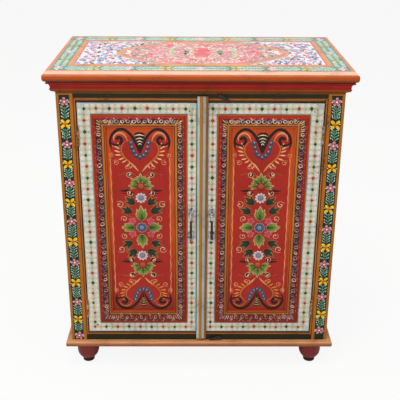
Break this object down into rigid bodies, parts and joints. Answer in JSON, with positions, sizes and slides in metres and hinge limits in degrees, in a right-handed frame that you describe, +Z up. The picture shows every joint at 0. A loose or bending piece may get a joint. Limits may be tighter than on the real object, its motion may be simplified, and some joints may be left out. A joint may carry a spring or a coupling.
{
  "type": "side cabinet",
  "caption": "Low wooden side cabinet with framed panel doors on butt hinges, forged pulls, turn buttons, a moulded cornice and base board, an inner shelf and turned feet.",
  "frame": {"origin": "on the floor, under the centre of the top board's outline", "axes": "+Z up from the floor, +X to the right seen from the front, and the doors face -Y"},
  "size_m": [0.76, 0.465, 0.84],
  "materials": {
    "top_paint": "glossy paint",
    "cornice_paint": "glossy paint",
    "green_paint": "satin paint",
    "side_paint": "satin paint",
    "bead_paint": "satin paint",
    "base_paint": "satin paint",
    "foot_paint": "glossy paint",
    "bare_wood": "bare sawn wood",
    "astragal_paint": "satin paint",
    "moulding_paint": "glossy paint",
    "panel_paint": "glossy paint",
    "door_paint": "satin paint",
    "screw_steel": "dull",
    "iron": "forged, dull"
  },
  "bodies": {
    "carcass": {"back_panel": "bare_wood", "base_board": "base_paint", "bead_bottom": "bead_paint", "bead_left": "bead_paint", "bead_right": "bead_paint", "bead_top": "bead_paint", "cornice_front": "cornice_paint", "cornice_left": "cornice_paint", "cornice_right": "cornice_paint", "door_stop_bottom": "bare_wood", "door_stop_top": "bare_wood", "foot_back_left": "foot_paint", "foot_back_right": "foot_paint", "foot_front_left": "foot_paint", "foot_front_right": "foot_paint", "frame_leaf_screws": "screw_steel", "hinge_frame_leaf_left_bottom": "iron", "hinge_frame_leaf_left_top": "iron", "hinge_frame_leaf_right_bottom": "iron", "hinge_frame_leaf_right_top": "iron", "hinge_pins": "screw_steel", "post_left": "green_paint", "post_right": "green_paint", "rail_bottom": "green_paint", "rail_top": "green_paint", "shelf": "bare_wood", "shelf_cleat_left": "bare_wood", "shelf_cleat_right": "bare_wood", "side_left": "side_paint", "side_right": "side_paint", "top_board": "top_paint", "turn_button_screws": "screw_steel", "turn_button_washers": "iron"},
    "door_left": {"left_door_hinge_stile": "door_paint", "left_door_meeting_stile": "door_paint", "left_door_rail_top": "door_paint", "left_door_rail_bottom": "door_paint", "left_door_panel": "panel_paint", "left_door_panel_moulding": "moulding_paint", "left_door_hinge_leaf_top": "iron", "left_door_hinge_leaf_bottom": "iron", "left_door_leaf_screws": "screw_steel", "left_door_pull": "iron", "left_door_pull_screws": "screw_steel"},
    "door_right": {"right_door_hinge_stile": "door_paint", "right_door_meeting_stile": "door_paint", "right_door_rail_top": "door_paint", "right_door_rail_bottom": "door_paint", "right_door_panel": "panel_paint", "right_door_panel_moulding": "moulding_paint", "right_door_hinge_leaf_top": "iron", "right_door_hinge_leaf_bottom": "iron", "right_door_leaf_screws": "screw_steel", "right_door_pull": "iron", "right_door_pull_screws": "screw_steel", "right_door_astragal": "astragal_paint"},
    "turn_button_top": {"turn_button_top": "iron"},
    "turn_button_bottom": {"turn_button_bottom": "iron"}
  },
  "joints": [
    {"name": "left_door_hinge", "type": "hinge", "parent": "carcass", "child": "door_left", "pos_m": [-0.3045, -0.2098, 0.436], "axis": [0, 0, -1], "range_deg": [0, 165]},
    {"name": "right_door_hinge", "type": "hinge", "parent": "carcass", "child": "door_right", "pos_m": [0.3045, -0.2098, 0.436], "axis": [0, 0, 1], "range_deg": [0, 165]},
    {"name": "turn_button_top_pivot", "type": "hinge", "parent": "carcass", "child": "turn_button_top", "pos_m": [0.047, -0.2111, 0.783], "axis": [0, 1, 0], "range_deg": [-28, 62]},
    {"name": "turn_button_bottom_pivot", "type": "hinge", "parent": "carcass", "child": "turn_button_bottom", "pos_m": [0.056, -0.2111, 0.09], "axis": [0, 1, 0], "range_deg": [0, 102]}
  ]
}
